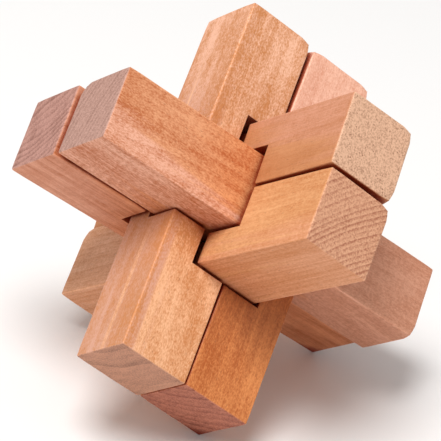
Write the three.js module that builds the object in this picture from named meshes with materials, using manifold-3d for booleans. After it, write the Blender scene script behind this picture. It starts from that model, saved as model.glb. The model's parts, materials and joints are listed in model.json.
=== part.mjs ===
// A six-stick wooden burr puzzle, put together and standing on three of its stick corners.
// Millimetres. The burr is built on its own axes and then turned so that +Z is up:
// the key and its partner run along X, the two uprights along Y, the two cross sticks along Z.
import * as THREE from 'three';
import { RoundedBoxGeometry } from 'three/addons/geometries/RoundedBoxGeometry.js';
import { mergeVertices } from 'three/addons/utils/BufferGeometryUtils.js';
import Module from 'manifold-3d';

const wasm = await Module();
wasm.setup();

// ---- Driving dimensions -------------------------------------------------------------------
const HALF = 7.5; // half the pitch between two sticks of a pair: the burr's unit
const STICK_WIDTH = 14.4; // planed section of every stick, a little under the 15 mm pitch
const EDGE_RADIUS = 0.4; // sanded edge
const EDGE_STEPS = 2; // facets round each sanded edge
const PLAY = 0.85; // room sawn into each notch beyond the unit grid
const OVERCUT = 2; // how far a cutting box runs out past the wood
const ROUGHNESS = 0.62; // bare sanded wood
const MERGE_DISTANCE = 1e-5; // closer points of a mesh are one point
const AXES = ['x', 'y', 'z'];

// ---- The six sticks -----------------------------------------------------------------------
// ends: how far the stick reaches each way along its own length, from the burr's centre.
// centre: middle of the section in units of HALF, on the burr's axes.
// tilt (degrees) and shift (mm): how the loose stick lies in its slot, about the burr's axes.
// notches: boxes of units [low, high] that are sawn out; null runs out past the surface. No cut
// is quite on the grid: room is how much further out, in mm, its [low, high] faces stand. The
// last cut of each cross stick is only a shallow relief where it passes the front upright.
const STICKS = [
  {
    name: 'key_stick',
    colour: 0xd98f5a,
    axis: 'x',
    ends: [-35.8, 36.6],
    centre: [0, 0, 1],
    tilt: [-0.2, 0.8, 0.6],
    shift: [-0.1, 0.3, 0.1],
    notches: [],
  },
  {
    name: 'key_partner_stick',
    colour: 0xcb8c66,
    axis: 'x',
    ends: [-35.2, 36.6],
    centre: [0, 0, -1],
    tilt: [-0.8, 1.4, 1.4],
    shift: [0.1, -0.3, -0.3],
    notches: [
      { x: [-2, 0], y: null, z: [-1, null] },
      { x: [1, 2], y: null, z: [-1, null], room: { x: [0, -0.2] } },
    ],
  },
  {
    name: 'front_upright_stick',
    colour: 0xe0a878,
    axis: 'y',
    ends: [-36.8, 35.9],
    centre: [1, 0, 0],
    tilt: [1.2, -0.1, -1],
    shift: [0.2, 0, 0],
    notches: [
      { x: [null, 1], y: [-2, 2], z: null, room: { x: [0, -0.85], y: [0.2, -0.6] } },
      { x: null, y: [-1, 1], z: [0, null] },
    ],
  },
  {
    name: 'rear_upright_stick',
    colour: 0xd68a55,
    axis: 'y',
    ends: [-36.4, 35.5],
    centre: [-1, 0, 0],
    tilt: [0.7, 0.5, -1.4],
    shift: [0.1, 0, -0.3],
    notches: [
      { x: [-1, null], y: [-2, -1], z: null },
      { x: [-1, null], y: [1, 2], z: null, room: { y: [0, -0.8] } },
      { x: null, y: [-1, 1], z: [0, null] },
    ],
  },
  {
    name: 'upper_cross_stick',
    colour: 0xd59a68,
    axis: 'z',
    ends: [-34.5, 36.4],
    centre: [0, -1, 0],
    tilt: [0, -1, 0.8],
    shift: [-0.4, -0.2, 0.1],
    notches: [
      { x: null, y: [-1, null], z: [-2, 2], room: { z: [0, -0.45] } },
      { x: [0.8, null], y: null, z: [0, 1], room: { z: [0, -1.2] } },
    ],
  },
  {
    name: 'lower_cross_stick',
    colour: 0xdda066,
    axis: 'z',
    ends: [-34.9, 36.6],
    centre: [0, 1, 0],
    tilt: [-0.35, -2, -0.8],
    shift: [-0.1, -0.1, 0.2],
    notches: [
      { x: null, y: [null, 1], z: [-2, 2], room: { y: [0, 0.1], z: [0.2, -0.3] } },
      { x: [0.8, null], y: null, z: [0, 1], room: { z: [0, -1.4] } },
    ],
  },
];

// ---- Standing ------------------------------------------------------------------------------
// The burr stands on one end corner of three sticks, all of them towards -X, +Y and -Z.
const FEET = ['key_partner_stick', 'rear_upright_stick', 'lower_cross_stick'];
const FOOT_SIDE = new THREE.Vector3(-1, 1, -1);
const ACROSS = new THREE.Vector3(-1, 0, 1); // the burr's direction that becomes +X when it stands

// ---- Helpers --------------------------------------------------------------------------------
function toManifold(geometry) {
  geometry.deleteAttribute('normal');
  geometry.deleteAttribute('uv');
  const merged = mergeVertices(geometry, MERGE_DISTANCE);
  return new wasm.Manifold(
    new wasm.Mesh({
      numProp: 3,
      vertProperties: new Float32Array(merged.getAttribute('position').array),
      triVerts: new Uint32Array(merged.getIndex().array),
    }),
  );
}

function toGeometry(manifold) {
  const mesh = manifold.getMesh();
  const indexed = new THREE.BufferGeometry();
  indexed.setAttribute('position', new THREE.BufferAttribute(mesh.vertProperties, 3));
  indexed.setIndex(new THREE.BufferAttribute(mesh.triVerts, 1));
  const geometry = indexed.toNonIndexed();
  geometry.computeVertexNormals();
  return geometry;
}

// A square bar with every edge sanded round, reaching along its own axis to both its ends.
function squareBar(stick) {
  const [low, high] = stick.ends;
  const size = AXES.map((axis) => (axis === stick.axis ? high - low : STICK_WIDTH));
  const middle = AXES.map((axis, i) => {
    return axis === stick.axis ? (low + high) / 2 : stick.centre[i] * HALF;
  });
  return new RoundedBoxGeometry(...size, EDGE_STEPS, EDGE_RADIUS).translate(...middle);
}

// The box of one notch. A face on the unit grid stands PLAY and its own room beyond its grid
// plane, and a face with no grid plane runs out past the surface of the stick.
function notchBox(stick, notch) {
  const surface = STICK_WIDTH / 2 + OVERCUT;
  const low = [];
  const high = [];
  AXES.forEach((axis, i) => {
    const [from, to] = notch[axis] ?? [null, null];
    const [roomLow, roomHigh] = notch.room?.[axis] ?? [0, 0];
    const middle = stick.centre[i] * HALF;
    low.push(from === null ? middle - surface : from * HALF - PLAY - roomLow);
    high.push(to === null ? middle + surface : to * HALF + PLAY + roomHigh);
  });
  const size = high.map((value, i) => value - low[i]);
  const middle = high.map((value, i) => (value + low[i]) / 2);
  return new THREE.BoxGeometry(...size).translate(...middle);
}

function makeStick(stick) {
  let body = toManifold(squareBar(stick));
  stick.notches.forEach((notch) => {
    body = body.subtract(toManifold(notchBox(stick, notch)));
  });

  const material = new THREE.MeshStandardMaterial({
    color: stick.colour,
    roughness: ROUGHNESS,
    metalness: 0,
  });
  const mesh = new THREE.Mesh(toGeometry(body), material);
  mesh.name = stick.name;
  mesh.rotation.set(...stick.tilt.map(THREE.MathUtils.degToRad));
  mesh.position.set(...stick.shift);
  return mesh;
}

// ---- Assembly -------------------------------------------------------------------------------
const burr = new THREE.Group();
burr.name = 'burr';
STICKS.forEach((stick) => burr.add(makeStick(stick)));

// The three rounded corners all have one radius, so the floor is parallel to the plane through
// the centres of their rounding.
const feet = FEET.map((name) => {
  const stick = STICKS.find((entry) => entry.name === name);
  const ball = new THREE.Vector3();
  AXES.forEach((axis, i) => {
    const side = FOOT_SIDE.getComponent(i);
    const along = stick.ends[side < 0 ? 0 : 1] - side * EDGE_RADIUS;
    const across = stick.centre[i] * HALF + side * (STICK_WIDTH / 2 - EDGE_RADIUS);
    ball.setComponent(i, axis === stick.axis ? along : across);
  });
  const mesh = burr.getObjectByName(name);
  mesh.updateMatrix();
  return ball.applyMatrix4(mesh.matrix);
});
const up = new THREE.Plane().setFromCoplanarPoints(...feet).normal;
if (up.dot(FOOT_SIDE) > 0) up.negate();
const right = ACROSS.clone().projectOnPlane(up).normalize();
const back = new THREE.Vector3().crossVectors(up, right);

// The standing frame's axes are the rows of this turn.
burr.applyMatrix4(new THREE.Matrix4().makeBasis(right, back, up).transpose());

// The origin is the middle of the bottom of the burr's own box.
const bounds = new THREE.Box3().setFromObject(burr, true);
const middle = bounds.getCenter(new THREE.Vector3());
burr.position.set(-middle.x, -middle.y, -bounds.min.z);

const part = new THREE.Group();
part.name = 'burr_puzzle';
part.add(burr);

export default part;
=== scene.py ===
"""The six-stick wooden burr, its wood and its studio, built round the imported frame."""
import json
import math

import bmesh
import bpy
from mathutils import Euler, Matrix, Vector, noise


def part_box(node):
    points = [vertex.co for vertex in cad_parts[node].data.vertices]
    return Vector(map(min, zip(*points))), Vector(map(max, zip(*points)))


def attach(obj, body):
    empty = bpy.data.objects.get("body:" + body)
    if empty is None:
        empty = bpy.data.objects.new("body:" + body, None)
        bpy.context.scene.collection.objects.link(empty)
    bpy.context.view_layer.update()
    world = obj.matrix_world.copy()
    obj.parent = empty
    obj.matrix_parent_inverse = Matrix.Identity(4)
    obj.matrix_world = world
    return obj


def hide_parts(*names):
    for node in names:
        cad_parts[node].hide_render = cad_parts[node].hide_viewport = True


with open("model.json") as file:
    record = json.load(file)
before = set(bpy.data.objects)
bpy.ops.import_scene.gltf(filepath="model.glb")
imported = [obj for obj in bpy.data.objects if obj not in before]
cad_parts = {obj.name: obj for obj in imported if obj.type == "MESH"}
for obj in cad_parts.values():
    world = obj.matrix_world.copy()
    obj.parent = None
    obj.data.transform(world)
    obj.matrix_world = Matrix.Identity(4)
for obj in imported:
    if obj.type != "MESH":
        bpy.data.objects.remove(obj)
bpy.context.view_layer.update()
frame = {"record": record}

MM = 0.001
AXES = "xyz"

# ---- The burr, as in the CAD model: millimetres on the burr's own axes ----------------------
HALF = 7.5  # half the pitch between two sticks of a pair
STICK_WIDTH = 14.4
PLAY = 0.85  # room sawn into each notch beyond the unit grid
OVERCUT = 2.0  # how far a cutting box runs out past the wood
EDGE_RADIUS = 0.4  # sanded outer edges
RIM_RADIUS = 0.15  # the edges left by the saw, only rubbed once

# ends, centre, tilt and shift as in the CAD model. Notches are boxes on the unit grid: None, or
# an axis left out, runs out past the surface, and room moves the low and high faces further out.
STICKS = {
    "key_stick": dict(
        axis="x", ends=(-35.8, 36.6), centre=(0, 0, 1),
        tilt=(-0.2, 0.8, 0.6), shift=(-0.1, 0.3, 0.1), notches=[],
    ),
    "key_partner_stick": dict(
        axis="x", ends=(-35.2, 36.6), centre=(0, 0, -1),
        tilt=(-0.8, 1.4, 1.4), shift=(0.1, -0.3, -0.3),
        notches=[
            dict(x=(-2, 0), z=(-1, None)),
            dict(x=(1, 2), z=(-1, None), room={"x": (0, -0.2)}),
        ],
    ),
    "front_upright_stick": dict(
        axis="y", ends=(-36.8, 35.9), centre=(1, 0, 0),
        tilt=(1.2, -0.1, -1), shift=(0.2, 0, 0),
        notches=[
            dict(x=(None, 1), y=(-2, 2), room={"x": (0, -0.85), "y": (0.2, -0.6)}),
            dict(y=(-1, 1), z=(0, None)),
        ],
    ),
    "rear_upright_stick": dict(
        axis="y", ends=(-36.4, 35.5), centre=(-1, 0, 0),
        tilt=(0.7, 0.5, -1.4), shift=(0.1, 0, -0.3),
        notches=[
            dict(x=(-1, None), y=(-2, -1)),
            dict(x=(-1, None), y=(1, 2), room={"y": (0, -0.8)}),
            dict(y=(-1, 1), z=(0, None)),
        ],
    ),
    "upper_cross_stick": dict(
        axis="z", ends=(-34.5, 36.4), centre=(0, -1, 0),
        tilt=(0, -1, 0.8), shift=(-0.4, -0.2, 0.1),
        notches=[
            dict(y=(-1, None), z=(-2, 2), room={"z": (0, -0.45)}),
            dict(x=(0.8, None), z=(0, 1), room={"z": (0, -1.2)}),
        ],
    ),
    "lower_cross_stick": dict(
        axis="z", ends=(-34.9, 36.6), centre=(0, 1, 0),
        tilt=(-0.35, -2, -0.8), shift=(-0.1, -0.1, 0.2),
        notches=[
            dict(y=(None, 1), z=(-2, 2), room={"y": (0, 0.1), "z": (0.2, -0.3)}),
            dict(x=(0.8, None), z=(0, 1), room={"z": (0, -1.4)}),
        ],
    ),
}

# The burr stands on one end corner of three sticks, all of them on the same side of it.
FEET = ("key_partner_stick", "rear_upright_stick", "lower_cross_stick")
FOOT_SIDE = Vector((-1, 1, -1))
ACROSS = Vector((-1, 0, 1))  # the burr's direction that becomes +X when it stands

# ---- Camera: where it stands, seen from the point that it looks at --------------------------
CAMERA_AZIMUTH = math.radians(15.5)  # from -Y towards +X
CAMERA_ELEVATION = math.radians(29.0)
CAMERA_ROLL = math.radians(6.6)
CAMERA_DISTANCE = 475.2 * MM
CAMERA_TARGET = Vector((-0.8, -0.6, 31.7)) * MM
LENS = 215.5
SENSOR_WIDTH = 36

# ---- Sanding and wear of the sticks: lengths in millimetres ---------------------------------
SLACK = 1e-3  # how far off a face a point may be and still lie on it
FLAT_ANGLE = math.radians(1)  # faces that fold less than this are one face
FOLD_ANGLE = math.radians(30)  # edges that fold more than this are rounded
EDGE_STEPS = 4  # facets round each of them
SLICE = 2.4  # spacing of the cuts that give the faces enough points to wear unevenly
EDGE_SLICES = (0.7, 1.4)  # and the depths of the closer cuts beside the outer edges
CUT_SLACK = 1e-4  # how near a cut an older point may be and still be used for it
WEAR = 0.12  # most that sanding took off a face below its nominal plane
CORNER_WEAR = 0.1  # most that it took off an end corner besides
KNOCK = 0.33  # depth of a knocked corner
KNOCK_REACH = 2.3  # how far from the corner a knock is felt
KNOCK_CORE = 0.3  # and how far from it the knock is at its deepest
WAVE = 9.0  # length of the slow waves in the wear
WAVE_SHIFT = Vector((7.3, 1.7, 0))  # from one stick's waves to the next one's
RIPPLE = 2.5  # length of the fine ones
RIPPLE_SHIFT = Vector((0, 0, 3.1))  # and from one stick's fine ones to the next one's
RIPPLE_FLOOR = 0.4  # how much of a slow wave is left where the fine ones are lowest
CORNER_REACH = 3.0  # how near a face has to be to count towards a corner
CORNER_FACES = (2.0, 3.0)  # how many have to be near where corner wear starts and is full
FOOT_FREE = (1.0, 5.0)  # distances from the corner stood on where wear starts and is full
SHARP_ANGLE = math.radians(50)  # shading is smooth over flatter edges than this
END_FACING = (0.35, 0.85)  # how squarely a surface faces along the grain to start and be end grain
EDGE_SLOPE = (0.1, 0.6)  # how far a surface leans between two faces to start and be a worn edge, which the colour also lightens as a painted highlight

# The corners that are knocked round, by their sides on the stick's own frame.
KNOCKED = {
    "key_stick": [(-1, 1, 1), (1, -1, -1)],
    "front_upright_stick": [(-1, 1, -1)],
    "rear_upright_stick": [(-1, 1, -1), (-1, 1, 1)],
    "upper_cross_stick": [(1, -1, 1), (1, -1, -1)],
    "lower_cross_stick": [(1, -1, -1), (-1, 1, -1)],
}

# ---- Wood -----------------------------------------------------------------------------------
# Each stick is cut from its own piece of a close-grained, diffuse-porous hardwood. Directions and
# places are on a stick's own frame, X along its length, in millimetres. pith is where the tree's
# centre lies across the stick, lean how that centre drifts along it, ring how far apart the growth
# rings are. wander says how far the rings stray, in mm, and drift by how many rings their spacing
# varies. contrast says how strong each kind of marking is on the sides, and end_marks on the ends.
# Each tint is a zone of other colour: the side it lies towards, how far from the centre it starts,
# and over how much it fades. Some tints are painted light and shade, marked where they stand.
WOODS = {
    "key_stick": dict(
        light=0xE6A479, dark=0xBA693C, end=0xC4998A, end_dark=0x966E60,
        ring=1.3, pith=(28, 56), lean=(0.06, -0.10), wander=3.0, drift=2.0, pores=0.3,
        contrast=dict(rings=0.3, streaks=0.8, fibres=0.9, clouds=1.3, figure=0.8, speckle=1.9),
        end_marks=dict(rings=0.55, bands=0.5, pits=2.2),
        tints=[
            # painted shade and bounce light: a deeper, more saturated orange from near the middle
            # towards the -X end, where the stick passes the crossing sticks
            dict(towards=(-1.0, 0.0, 0.0), start=-15.0, blur=18.0, colour=0xE89C66, dark=0xBE6230),
            # painted shade and bounce light: the +Y side, the underside, darker and warmer orange
            dict(towards=(0.0, 1.0, -0.3), start=5.6, blur=2.0, colour=0xD98755),
            dict(towards=(0.18, 1.0, 0.35), start=8.3, blur=2.5, colour=0xEDB49A),
            dict(towards=(-1.0, 0.0, 0.0), start=14.0, blur=8.0, colour=0xDDA288, dark=0xC08264),
        ],
    ),
    "key_partner_stick": dict(
        light=0xE2986C, dark=0xB8683C, end=0xC49284, end_dark=0x926456,
        ring=1.3, pith=(-30, -14), lean=(0.04, 0.05), wander=7.0, drift=6.0, pores=0.3,
        contrast=dict(rings=0.4, streaks=1.2, fibres=0.9, clouds=1.2, figure=0.6, speckle=0.9),
        end_marks=dict(rings=0.8, bands=1.0, pits=2.2),
        tints=[
            dict(towards=(1.0, 0.6, -1.0), start=14.0, blur=8.0, colour=0xE3A488),
        ],
    ),
    "front_upright_stick": dict(
        light=0xF2B98E, dark=0xCB8450, end=0xC89074, end_dark=0x8F6450,
        ring=3.4, pith=(5, 60), lean=(0.02, 0.03), wander=7.0, drift=6.0, pores=0.2,
        contrast=dict(rings=0.35, streaks=1.2, fibres=0.6, clouds=2.0, figure=0.8, speckle=2.2),
        end_marks=dict(rings=0.5, bands=1.0, pits=2.4),
        tints=[
            # painted light: the side facing the burr's +x is tinted pinker and cooler, for cooler
            # light falling on that side
            dict(towards=(0.0, 0.0, 1.0), start=4.8, blur=2.0, colour=0xD59E88),
            dict(towards=(-1.0, 0.6, 0.0), start=15.0, blur=16.0, colour=0xF7BFA0),
        ],
    ),
    "rear_upright_stick": dict(
        light=0xDE8E52, dark=0xB05C28, end=0xBC755C, end_dark=0x884838,
        ring=2.0, pith=(20, 34), lean=(-0.02, 0.02), wander=7.0, drift=6.0, pores=0.3,
        contrast=dict(rings=0.2, streaks=1.1, fibres=0.8, clouds=1.2, figure=0.6, speckle=1.8),
        end_marks=dict(rings=0.7, bands=1.0, pits=2.4),
        tints=[
            # painted shade: the middle of the stick, round the crossing, darker and deeper orange,
            # for the shade of the lower cross stick and the front upright
            dict(towards=(-1.0, 0.0, 0.0), start=-22.0, blur=14.0, colour=0xBE6E3A, dark=0x96502A),
            dict(towards=(-1.0, 0.0, 0.0), start=14.0, blur=8.0, colour=0xFFCBB2, dark=0xE4A184),
        ],
    ),
    "upper_cross_stick": dict(
        light=0xD19164, dark=0xB57040, end=0xE3B494, end_dark=0xA0745A,
        ring=2.8, pith=(-50, -30), lean=(0.05, 0.02), wander=7.0, drift=6.0, pores=1.0,
        contrast=dict(rings=0.12, streaks=0.6, fibres=0.7, clouds=1.1, figure=0.5, speckle=1.2),
        end_marks=dict(rings=0.1, bands=0.2, pits=3.0),
        tints=[
            dict(towards=(0.35, 0.0, -1.0), start=7.5, blur=7.0, colour=0xDFA085),
        ],
    ),
    "lower_cross_stick": dict(
        light=0xE8AD7A, dark=0xC67F4C, end=0xDDA582, end_dark=0xAA6C50,
        ring=0.9, pith=(-60, 60), lean=(0.03, 0.05), wander=1.0, drift=1.0, pores=0.4,
        contrast=dict(rings=0.3, streaks=0.7, fibres=0.7, clouds=0.9, figure=0.4, speckle=1.4),
        end_marks=dict(rings=0.8, bands=0.3, pits=2.4),
        tints=[
            dict(towards=(0.1, 0.0, 1.0), start=6.0, blur=4.0, colour=0xE6A684),
            dict(towards=(-1.0, 0.0, 0.0), start=12.0, blur=8.0, colour=0xE9B08E),
        ],
    ),
}
PORE_COLOUR = 0x7A4326
RUBBED_AND_HIGHLIGHT = (1.15, 1.18, 1.2, 1)  # what a rounded edge does to the colour: partly real rubbing, partly a painted highlight
CREVICE_SHADE_TONE = (0.5, 0.17, 0.09, 1)  # painted shade: what the colour is multiplied by deep between the sticks, where ambient occlusion finds them close
CREVICE_REACH = 4.0  # how near another stick has to be for that painted shade, in mm
CREVICE_RANGE = (0.66, 0.35)  # how open a place is where the painted shade starts and where it is full
CREVICE_SAMPLES = 8
TINT_STRENGTH = 0.85
RAGGED_TINT = 14.0  # how far the streaks carry a tint's border, in mm from end to end

# How finely each marking varies, per millimetre along the grain and across it.
MARKINGS = {
    "streaks": dict(scale=(0.012, 0.55, 0.55), detail=2.0),
    "fibres": dict(scale=(0.16, 2.4, 2.4), detail=3.0),
    "clouds": dict(scale=(0.05, 0.16, 0.16), detail=2.0),
    "figure": dict(scale=(0.9, 0.45, 0.45), detail=3.0),
    "speckle": dict(scale=(2.2, 4.2, 4.2), detail=2.0),
}
MEAN_DEPTH = 0.4  # how dark unmarked wood is, from light at 0 to dark at 1
DEPTH_LIMITS = (-0.3, 1.3)
RING_WANDER = (0.012, 0.05, 0.05)  # how finely the rings stray, per millimetre
RING_SPREAD = dict(scale=(0.004, 0.03, 0.03), offset=(9, 2, 5))  # the same for their spacing
LATE_WOOD = (0.15, 0.92)  # where in a ring its dark late wood starts and is darkest
RING_EDGE = (1.0, 0.93)  # where it has ended, and where it was last at its darkest
FAINTEST_RING = 0.25
PITS = (2.6, 3.4, 3.4)  # how finely the torn fibres of end grain vary, per millimetre
BANDS = (0.2, 0.25, 0.9)  # the same for its saw bands
END_DEPTH = 0.2  # how dark unmarked end grain is

# Vessels: how many per millimetre each way, how far one kind is moved off the other, how wide they
# are from rim to middle in that spacing, and how dark.
FINE_VESSELS = dict(scale=(0.35, 1.5, 1.5), offset=(0, 0, 0), rim=(0.17, 0.05), depth=0.35)
WIDE_VESSELS = dict(scale=(0.14, 0.85, 0.85), offset=(7, 3, 5), rim=(0.15, 0.06))
WIDE_ON_SIDES = 0.15  # how much of a wide vessel shows along the grain
WIDE_ON_ENDS = 0.8  # and on the ends
ROUGHNESS = dict(base=0.45, fibres=0.2, end_grain=0.18, edge_wear_and_highlight=-0.08)
RELIEF = dict(rings=-0.3, pores=-1.0, speckle=0.6, pits=1.5)  # heights beside the fibres' 1
RELIEF_STRENGTH = 0.6
RELIEF_DEPTH = 0.09 * MM
SHEEN = 0.35  # specular level of sanded wood
WOOD_SHIFT = Vector((31, 17, 11))  # mm from one stick's place in the markings to the next one's
WHITE = (1, 1, 1, 1)
MIX_INPUTS = (6, 7)  # a mix node's colour sockets, by number
MIX_OUTPUT = 2

# ---- Studio, in metres ----------------------------------------------------------------------
FLOOR_REACH = 3.0
FLOOR_THICKNESS = 0.02
FLOOR_COLOUR = (0.9, 0.89, 0.88, 1)
FLOOR_ROUGHNESS = 0.8
FLOOR_SHEEN = 0.1
SKY_COLOUR = (1.0, 0.99, 0.98, 1)
SKY_STRENGTH = 0.5
SOFTBOX_PLACE = Vector((-0.05, -0.28, 0.85))
SOFTBOX_SIZE = 0.45
SOFTBOX_POWER = 6.4


# ---- Placement ------------------------------------------------------------------------------
def tilt_matrix(stick):
    """How a loose stick is turned and shifted in its slot, about the burr's axes."""
    turn = Euler([math.radians(angle) for angle in stick["tilt"]], "ZYX").to_matrix().to_4x4()
    return Matrix.Translation(Vector(stick["shift"])) @ turn


def foot_ball(name):
    """The centre of the rounding at the corner that a stick stands on, on the burr's axes."""
    stick = STICKS[name]
    ball = Vector()
    for i, axis in enumerate(AXES):
        side = FOOT_SIDE[i]
        if axis == stick["axis"]:
            ball[i] = stick["ends"][0 if side < 0 else 1] - side * EDGE_RADIUS
        else:
            ball[i] = stick["centre"][i] * HALF + side * (STICK_WIDTH / 2 - EDGE_RADIUS)
    return tilt_matrix(stick) @ ball


def standing_matrix():
    """From the burr's axes in millimetres to the frame's in metres, standing on three corners."""
    first, second, third = [foot_ball(name) for name in FEET]
    up = (second - first).cross(third - first).normalized()
    if up.dot(FOOT_SIDE) > 0:
        up.negate()
    right = (ACROSS - up * ACROSS.dot(up)).normalized()
    turn = Matrix((right, up.cross(right), up)).to_4x4()

    key = STICKS["key_stick"]
    key_middle = Vector(key["centre"]) * HALF
    key_middle.x = sum(key["ends"]) / 2
    low, high = [Vector(corner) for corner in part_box("key_stick")]
    place = (low + high) / 2 - (turn @ tilt_matrix(key) @ key_middle) * MM
    return Matrix.Translation(place) @ Matrix.Scale(MM, 4) @ turn


def axis_matrix(stick):
    """Turns a stick's own frame, X along its length, onto the burr's axes."""
    along = AXES.index(stick["axis"])
    turn = Matrix([[1.0 if (i - j) % 3 == along else 0.0 for j in range(3)] for i in range(3)])
    return Matrix.Translation(Vector(stick["centre"]) * HALF) @ turn.to_4x4()


STANDING = standing_matrix()


def stick_matrix(stick):
    """From a stick's own frame in millimetres to the frame's in metres."""
    return STANDING @ tilt_matrix(stick) @ axis_matrix(stick)


# ---- Stick meshes ---------------------------------------------------------------------------
def local_box(stick, notch):
    """The low and high corners of one notch, in millimetres on the stick's own frame."""
    along = AXES.index(stick["axis"])
    reach = STICK_WIDTH / 2 + OVERCUT
    low, high = Vector(), Vector()
    for j in range(3):
        i = (along + j) % 3
        middle = stick["centre"][i] * HALF
        start, stop = notch.get(AXES[i], (None, None))
        room_low, room_high = notch.get("room", {}).get(AXES[i], (0, 0))
        low[j] = -reach if start is None else start * HALF - PLAY - room_low - middle
        high[j] = reach if stop is None else stop * HALF + PLAY + room_high - middle
    return low, high


def box_mesh(name, low, high):
    mesh = bpy.data.meshes.new(name)
    bm = bmesh.new()
    bmesh.ops.create_cube(bm, size=1)
    for vert in bm.verts:
        vert.co = Vector([low[i] if vert.co[i] < 0 else high[i] for i in range(3)])
    bm.to_mesh(mesh)
    bm.free()
    return mesh


def applied(obj):
    """Replaces an object's mesh by what its modifiers make of it."""
    graph = bpy.context.evaluated_depsgraph_get()
    graph.update()
    mesh = bpy.data.meshes.new_from_object(obj.evaluated_get(graph))
    old = obj.data
    obj.modifiers.clear()
    obj.data = mesh
    bpy.data.meshes.remove(old)


def cut(obj, cutter_mesh):
    cutter = bpy.data.objects.new("cutter", cutter_mesh)
    bpy.context.scene.collection.objects.link(cutter)
    boolean = obj.modifiers.new("notch", "BOOLEAN")
    boolean.operation = "DIFFERENCE"
    boolean.solver = "EXACT"
    boolean.object = cutter
    applied(obj)
    bpy.data.objects.remove(cutter)
    bpy.data.meshes.remove(cutter_mesh)


def on_surface(point, low, high):
    """Which faces of the uncut bar a point lies on."""
    found = set()
    for i in range(3):
        if abs(point[i] - low[i]) < SLACK:
            found.add((i, -1))
        if abs(point[i] - high[i]) < SLACK:
            found.add((i, 1))
    return found


def round_edges(obj, low, high):
    """Sands the bar's own edges round and only breaks the edges that the saw left."""
    bm = bmesh.new()
    bm.from_mesh(obj.data)
    bmesh.ops.dissolve_limit(bm, angle_limit=FLAT_ANGLE, verts=bm.verts, edges=bm.edges)
    weights = bm.edges.layers.float.new("bevel_weight_edge")
    for edge in bm.edges:
        if edge.calc_face_angle_signed(0.0) < FOLD_ANGLE:
            continue
        shared = on_surface(edge.verts[0].co, low, high) & on_surface(edge.verts[1].co, low, high)
        edge[weights] = 1.0 if len(shared) > 1 else RIM_RADIUS / EDGE_RADIUS
    bm.to_mesh(obj.data)
    bm.free()
    bevel = obj.modifiers.new("sanding", "BEVEL")
    bevel.limit_method = "WEIGHT"
    bevel.width = EDGE_RADIUS
    bevel.segments = EDGE_STEPS
    bevel.use_clamp_overlap = True
    applied(obj)


def slice_up(bm, low, high):
    """Cuts the mesh on a grid, so that wear can shape the flat faces too."""
    for i in range(3):
        normal = Vector([1.0 if i == j else 0.0 for j in range(3)])
        count = round((high[i] - low[i]) / SLICE)
        places = [low[i] + (high[i] - low[i]) * step / count for step in range(1, count)]
        places += [low[i] + depth for depth in EDGE_SLICES]
        places += [high[i] - depth for depth in EDGE_SLICES]
        for place in places:
            everything = bm.verts[:] + bm.edges[:] + bm.faces[:]
            bmesh.ops.bisect_plane(
                bm, geom=everything, plane_co=normal * place, plane_no=normal, dist=CUT_SLACK
            )


def smooth_step(low, high, value):
    t = min(max((value - low) / (high - low), 0.0), 1.0)
    return t * t * (3 - 2 * t)


def distance_from(point, low, high, sides):
    """How far a point is from the bar's corner on the given sides."""
    corner = Vector([high[i] if sides[i] > 0 else low[i] for i in range(3)])
    return (point - corner).length


def wear_down(bm, low, high, name, seed):
    """Takes a little off the faces in slow waves and more off some end corners, always inwards."""
    along = AXES.index(STICKS[name]["axis"])
    foot = [FOOT_SIDE[(along + j) % 3] for j in range(3)]
    bm.normal_update()
    moves = []
    for vert in bm.verts:
        wave = 0.5 + 0.5 * noise.noise(vert.co / WAVE + WAVE_SHIFT * seed)
        fine = 0.5 + 0.5 * noise.noise(vert.co / RIPPLE + RIPPLE_SHIFT * seed)
        depth = [min(vert.co[i] - low[i], high[i] - vert.co[i]) for i in range(3)]
        nearness = sum(1 - smooth_step(0.0, CORNER_REACH, value) for value in depth)
        amount = WEAR * wave * (RIPPLE_FLOOR + (1 - RIPPLE_FLOOR) * fine)
        amount += CORNER_WEAR * smooth_step(*CORNER_FACES, nearness) * fine
        for sides in KNOCKED.get(name, []):
            distance = distance_from(vert.co, low, high, sides)
            amount += KNOCK * (1 - smooth_step(KNOCK_CORE, KNOCK_REACH, distance))
        if name in FEET:
            amount *= smooth_step(*FOOT_FREE, distance_from(vert.co, low, high, foot))
        moves.append(vert.normal * -amount)
    for vert, move in zip(bm.verts, moves):
        vert.co += move


def mark_surfaces(mesh):
    """Stores each point's place in the wood, how much it is end grain and how much it lies on a
    worn edge, which the colour also lightens as a painted highlight.
    """
    kinds = {"grain": "FLOAT_VECTOR", "end_grain": "FLOAT", "edge_wear_and_highlight": "FLOAT"}
    for name, kind in kinds.items():
        mesh.attributes.new(name, kind, "POINT")
    grain, end_grain, edge_wear_and_highlight = [mesh.attributes[name] for name in kinds]
    for i, vert in enumerate(mesh.vertices):
        grain.data[i].vector = vert.co
        end_grain.data[i].value = smooth_step(*END_FACING, abs(vert.normal.x))
        slope = sorted(abs(value) for value in vert.normal)[1]
        edge_wear_and_highlight.data[i].value = smooth_step(*EDGE_SLOPE, slope)


def make_stick(name, stick, seed):
    low = Vector((stick["ends"][0], -STICK_WIDTH / 2, -STICK_WIDTH / 2))
    high = Vector((stick["ends"][1], STICK_WIDTH / 2, STICK_WIDTH / 2))
    obj = bpy.data.objects.new(name + "_wood", box_mesh(name, low, high))
    bpy.context.scene.collection.objects.link(obj)
    for notch in stick["notches"]:
        cut(obj, box_mesh("cutter", *local_box(stick, notch)))
    round_edges(obj, low, high)

    bm = bmesh.new()
    bm.from_mesh(obj.data)
    slice_up(bm, low, high)
    wear_down(bm, low, high, name, seed)
    bm.to_mesh(obj.data)
    bm.free()
    mark_surfaces(obj.data)
    obj.data.transform(stick_matrix(stick))
    obj.data.shade_smooth()
    obj.data.set_sharp_from_angle(angle=SHARP_ANGLE)
    return obj


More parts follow.
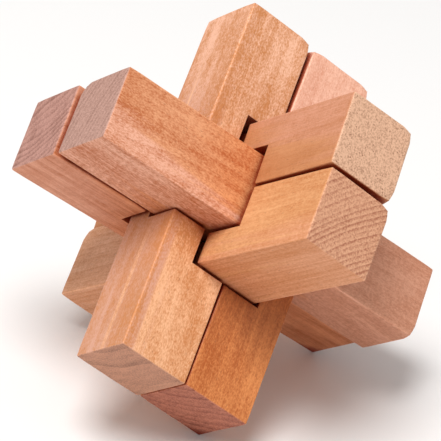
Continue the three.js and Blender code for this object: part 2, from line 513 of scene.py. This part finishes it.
# ---- Wood material --------------------------------------------------------------------------
def linear(code):
    """An sRGB colour code as linear red, green, blue and alpha."""
    def channel(value):
        value /= 255
        return value / 12.92 if value <= 0.04045 else ((value + 0.055) / 1.055) ** 2.4
    return (*[channel((code >> shift) & 255) for shift in (16, 8, 0)], 1.0)


class Tree:
    """Short names for the shader nodes that the wood is made of."""

    def __init__(self, tree):
        self.tree = tree

    def node(self, kind, **settings):
        made = self.tree.nodes.new(kind)
        for key, value in settings.items():
            setattr(made, key, value)
        return made

    def plug(self, value, socket):
        if isinstance(value, bpy.types.NodeSocket):
            self.tree.links.new(value, socket)
        else:
            socket.default_value = value

    def math(self, operation, *values):
        made = self.node("ShaderNodeMath", operation=operation)
        for value, socket in zip(values, made.inputs):
            self.plug(value, socket)
        return made.outputs[0]

    def vector(self, operation, *values):
        made = self.node("ShaderNodeVectorMath", operation=operation)
        for value, socket in zip(values, made.inputs):
            self.plug(value, socket)
        return made.outputs["Value" if operation == "DOT_PRODUCT" else "Vector"]

    def stretched(self, vector, scale, offset=(0, 0, 0)):
        made = self.node("ShaderNodeMapping")
        self.plug(vector, made.inputs["Vector"])
        made.inputs["Scale"].default_value = scale
        made.inputs["Location"].default_value = offset
        return made.outputs[0]

    def noise(self, vector, detail):
        made = self.node("ShaderNodeTexNoise")
        self.plug(vector, made.inputs["Vector"])
        made.inputs["Scale"].default_value = 1.0
        made.inputs["Detail"].default_value = detail
        return made

    def voronoi(self, vector):
        made = self.node("ShaderNodeTexVoronoi")
        self.plug(vector, made.inputs["Vector"])
        made.inputs["Scale"].default_value = 1.0
        return made.outputs["Distance"]

    def ramp(self, value, start, stop):
        """0 up to start, 1 past stop and smooth between them; stop may be the lower one."""
        made = self.node("ShaderNodeMapRange", interpolation_type="SMOOTHSTEP")
        self.plug(value, made.inputs["Value"])
        made.inputs["From Min"].default_value = start
        made.inputs["From Max"].default_value = stop
        return made.outputs[0]

    def mix(self, factor, first, second, blend="MIX"):
        """Mixes two colours. A mix node has a set of sockets for each type, found by number."""
        made = self.node("ShaderNodeMix", data_type="RGBA", blend_type=blend)
        self.plug(factor, made.inputs["Factor"])
        self.plug(first, made.inputs[MIX_INPUTS[0]])
        self.plug(second, made.inputs[MIX_INPUTS[1]])
        return made.outputs[MIX_OUTPUT]

    def attribute(self, name):
        return self.node("ShaderNodeAttribute", attribute_name=name).outputs["Fac"]


def growth_rings(t, grain, wood):
    """0 in early wood rising to 1 at each ring's dark late wood."""
    wander = t.noise(t.stretched(grain, RING_WANDER), detail=2.0).outputs["Color"]
    bent = t.vector("SUBTRACT", wander, (0.5, 0.5, 0.5))
    bent = t.vector("MULTIPLY", bent, (0.0, wood["wander"], wood["wander"]))
    bent = t.vector("ADD", grain, bent)
    split = t.node("ShaderNodeSeparateXYZ")
    t.plug(bent, split.inputs[0])
    squares = []
    for socket, centre, lean in zip(split.outputs[1:], wood["pith"], wood["lean"]):
        drift = t.math("MULTIPLY_ADD", split.outputs[0], lean, -centre)
        squares.append(t.math("POWER", t.math("ADD", socket, drift), 2.0))
    radius = t.math("SQRT", t.math("ADD", *squares))
    turns = t.math("DIVIDE", radius, wood["ring"])
    uneven = t.noise(t.stretched(grain, **RING_SPREAD), detail=1.0).outputs[0]
    turns = t.math("MULTIPLY_ADD", uneven, wood["drift"], turns)
    phase = t.math("FRACT", turns)
    rise = t.ramp(phase, *LATE_WOOD)
    fall = t.ramp(phase, *RING_EDGE)
    which = t.node("ShaderNodeTexWhiteNoise", noise_dimensions="1D")
    t.plug(t.math("FLOOR", turns), which.inputs["W"])
    strength = t.math("MULTIPLY_ADD", which.outputs["Value"], 1 - FAINTEST_RING, FAINTEST_RING)
    return t.math("MULTIPLY", t.math("MULTIPLY", rise, fall), strength)


def add_centred(t, value, amount, total):
    """Adds a 0 to 1 noise to the total, as much above its middle as below."""
    return t.math("MULTIPLY_ADD", t.math("SUBTRACT", value, 0.5), amount, total)


def side_colour(t, grain, layers, rings, wood):
    """The colour along the grain: light wood, darkened by its markings, in its zones of tint, some
    of them painted light and shade.
    """
    depth = t.math("MULTIPLY_ADD", rings, wood["contrast"]["rings"], MEAN_DEPTH)
    for name, layer in layers.items():
        depth = add_centred(t, layer, wood["contrast"][name], depth)
    depth = t.math("MAXIMUM", t.math("MINIMUM", depth, DEPTH_LIMITS[1]), DEPTH_LIMITS[0])
    colour = t.mix(depth, linear(wood["light"]), linear(wood["dark"]))
    for tint in wood["tints"]:
        reach = t.vector("DOT_PRODUCT", grain, tuple(Vector(tint["towards"]).normalized()))
        reach = add_centred(t, layers["streaks"], RAGGED_TINT, reach)
        border, half_blur = tint["start"], tint["blur"] / 2
        zone = t.ramp(reach, border - half_blur, border + half_blur)
        tinted = t.mix(depth, linear(tint["colour"]), linear(tint.get("dark", wood["dark"])))
        colour = t.mix(t.math("MULTIPLY", zone, TINT_STRENGTH), colour, tinted)
    return colour


def end_colour(t, place, pits, rings, wood):
    """The colour across the grain, where rings, saw bands and torn fibres show more."""
    bands = t.noise(t.stretched(place, BANDS), detail=2.0).outputs["Fac"]
    marks = wood["end_marks"]
    depth = t.math("MULTIPLY", rings, marks["rings"])
    depth = add_centred(t, pits, marks["pits"], depth)
    depth = add_centred(t, bands, marks["bands"], depth)
    depth = t.math("MAXIMUM", t.math("ADD", depth, END_DEPTH), 0.0)
    return t.mix(depth, linear(wood["end"]), linear(wood["end_dark"]))


def vessel_pores(t, place, end_grain, wood):
    """0 between the wood's vessels and up to 1 inside them."""
    fine = t.voronoi(t.stretched(place, FINE_VESSELS["scale"], FINE_VESSELS["offset"]))
    fine = t.math("MULTIPLY", t.ramp(fine, *FINE_VESSELS["rim"]), FINE_VESSELS["depth"])
    wide = t.voronoi(t.stretched(place, WIDE_VESSELS["scale"], WIDE_VESSELS["offset"]))
    wide = t.math("MULTIPLY", t.ramp(wide, *WIDE_VESSELS["rim"]), wood["pores"])
    shown = t.math("MULTIPLY_ADD", end_grain, WIDE_ON_ENDS - WIDE_ON_SIDES, WIDE_ON_SIDES)
    return t.math("MAXIMUM", fine, t.math("MULTIPLY", wide, shown))


def worn_highlit_and_shaded(t, colour, edge_wear_and_highlight):
    """The colour made pale on the edges, partly real rubbing and partly a painted highlight, and
    darkened with painted shade between the sticks.
    """
    # the rounded edges made lighter: partly rubbed wood, partly a painted highlight
    rubbed_and_highlit = t.mix(edge_wear_and_highlight, WHITE, RUBBED_AND_HIGHLIGHT)
    colour = t.mix(1.0, colour, rubbed_and_highlit, blend="MULTIPLY")
    # painted shade: the colour is darkened wherever ambient occlusion finds another stick close by
    crevice = t.node("ShaderNodeAmbientOcclusion", samples=CREVICE_SAMPLES)
    crevice.inputs["Distance"].default_value = CREVICE_REACH * MM
    crevice_shade = t.mix(t.ramp(crevice.outputs["AO"], *CREVICE_RANGE), WHITE, CREVICE_SHADE_TONE)
    return t.mix(1.0, colour, crevice_shade, blend="MULTIPLY")


def wood_material(name, wood, seed):
    material = bpy.data.materials.new(name + "_wood")
    material.use_nodes = True
    t = Tree(material.node_tree)
    shader = material.node_tree.nodes["Principled BSDF"]
    grain = t.node("ShaderNodeAttribute", attribute_name="grain").outputs["Vector"]
    place = t.stretched(grain, (1, 1, 1), WOOD_SHIFT * seed)
    end_grain = t.attribute("end_grain")
    edge_wear_and_highlight = t.attribute("edge_wear_and_highlight")

    rings = growth_rings(t, grain, wood)
    layers = {
        kind: t.noise(t.stretched(place, marking["scale"]), marking["detail"]).outputs["Fac"]
        for kind, marking in MARKINGS.items()
    }
    pits = t.noise(t.stretched(place, PITS), detail=3.0).outputs["Fac"]
    pores = vessel_pores(t, place, end_grain, wood)
    sides = side_colour(t, grain, layers, rings, wood)
    ends = end_colour(t, place, pits, rings, wood)
    colour = t.mix(pores, t.mix(end_grain, sides, ends), linear(PORE_COLOUR))
    t.plug(worn_highlit_and_shaded(t, colour, edge_wear_and_highlight), shader.inputs["Base Color"])

    rough = t.math("MULTIPLY_ADD", layers["fibres"], ROUGHNESS["fibres"], ROUGHNESS["base"])
    rough = t.math("MULTIPLY_ADD", end_grain, ROUGHNESS["end_grain"], rough)
    rough = t.math("MULTIPLY_ADD", edge_wear_and_highlight, ROUGHNESS["edge_wear_and_highlight"], rough)
    t.plug(rough, shader.inputs["Roughness"])

    height = t.math("MULTIPLY_ADD", rings, RELIEF["rings"], layers["fibres"])
    height = t.math("MULTIPLY_ADD", pores, RELIEF["pores"], height)
    height = t.math("MULTIPLY_ADD", layers["speckle"], RELIEF["speckle"], height)
    height = t.math("MULTIPLY_ADD", t.math("MULTIPLY", pits, end_grain), RELIEF["pits"], height)
    bump = t.node("ShaderNodeBump")
    bump.inputs["Strength"].default_value = RELIEF_STRENGTH
    bump.inputs["Distance"].default_value = RELIEF_DEPTH
    t.plug(height, bump.inputs["Height"])
    t.plug(bump.outputs["Normal"], shader.inputs["Normal"])
    shader.inputs["Specular IOR Level"].default_value = SHEEN
    return material


# ---- Floor, light and camera ----------------------------------------------------------------
def floor():
    low = (-FLOOR_REACH, -FLOOR_REACH, -FLOOR_THICKNESS)
    mesh = box_mesh("floor", low, (FLOOR_REACH, FLOOR_REACH, 0))
    obj = bpy.data.objects.new("floor", mesh)
    bpy.context.scene.collection.objects.link(obj)
    material = bpy.data.materials.new("floor_white")
    material.use_nodes = True
    shader = material.node_tree.nodes["Principled BSDF"]
    shader.inputs["Base Color"].default_value = FLOOR_COLOUR
    shader.inputs["Roughness"].default_value = FLOOR_ROUGHNESS
    shader.inputs["Specular IOR Level"].default_value = FLOOR_SHEEN
    mesh.materials.append(material)


def softbox():
    data = bpy.data.lights.new("top_softbox", "AREA")
    data.shape = "DISK"
    data.size = SOFTBOX_SIZE
    data.energy = SOFTBOX_POWER
    obj = bpy.data.objects.new("top_softbox", data)
    bpy.context.scene.collection.objects.link(obj)
    obj.location = SOFTBOX_PLACE
    obj.rotation_euler = (CAMERA_TARGET - SOFTBOX_PLACE).to_track_quat("-Z", "Y").to_euler()


def studio():
    world = bpy.data.worlds.new("studio")
    bpy.context.scene.world = world
    world.use_nodes = True
    background = world.node_tree.nodes["Background"]
    background.inputs["Color"].default_value = SKY_COLOUR
    background.inputs["Strength"].default_value = SKY_STRENGTH
    bpy.context.scene.view_settings.view_transform = "Standard"
    softbox()


def camera():
    data = bpy.data.cameras.new("camera")
    data.lens = LENS
    data.sensor_width = SENSOR_WIDTH
    obj = bpy.data.objects.new("camera", data)
    bpy.context.scene.collection.objects.link(obj)
    back = Vector((
        math.sin(CAMERA_AZIMUTH) * math.cos(CAMERA_ELEVATION),
        -math.cos(CAMERA_AZIMUTH) * math.cos(CAMERA_ELEVATION),
        math.sin(CAMERA_ELEVATION),
    ))
    level = back.to_track_quat("Z", "Y").to_matrix().to_4x4()
    place = Matrix.Translation(CAMERA_TARGET + back * CAMERA_DISTANCE)
    obj.matrix_world = place @ level @ Matrix.Rotation(CAMERA_ROLL, 4, "Z")
    bpy.context.scene.camera = obj


# ---- The scene ------------------------------------------------------------------------------
body_of = {
    node: body for body, nodes in frame["record"]["behaviour"]["bodies"].items() for node in nodes
}

camera()
for index, (name, stick) in enumerate(STICKS.items()):
    piece = make_stick(name, stick, seed=index + 1)
    piece.data.materials.append(wood_material(name, WOODS[name], seed=index + 1))
    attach(piece, body_of[name])
    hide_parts(name)
floor()
studio()
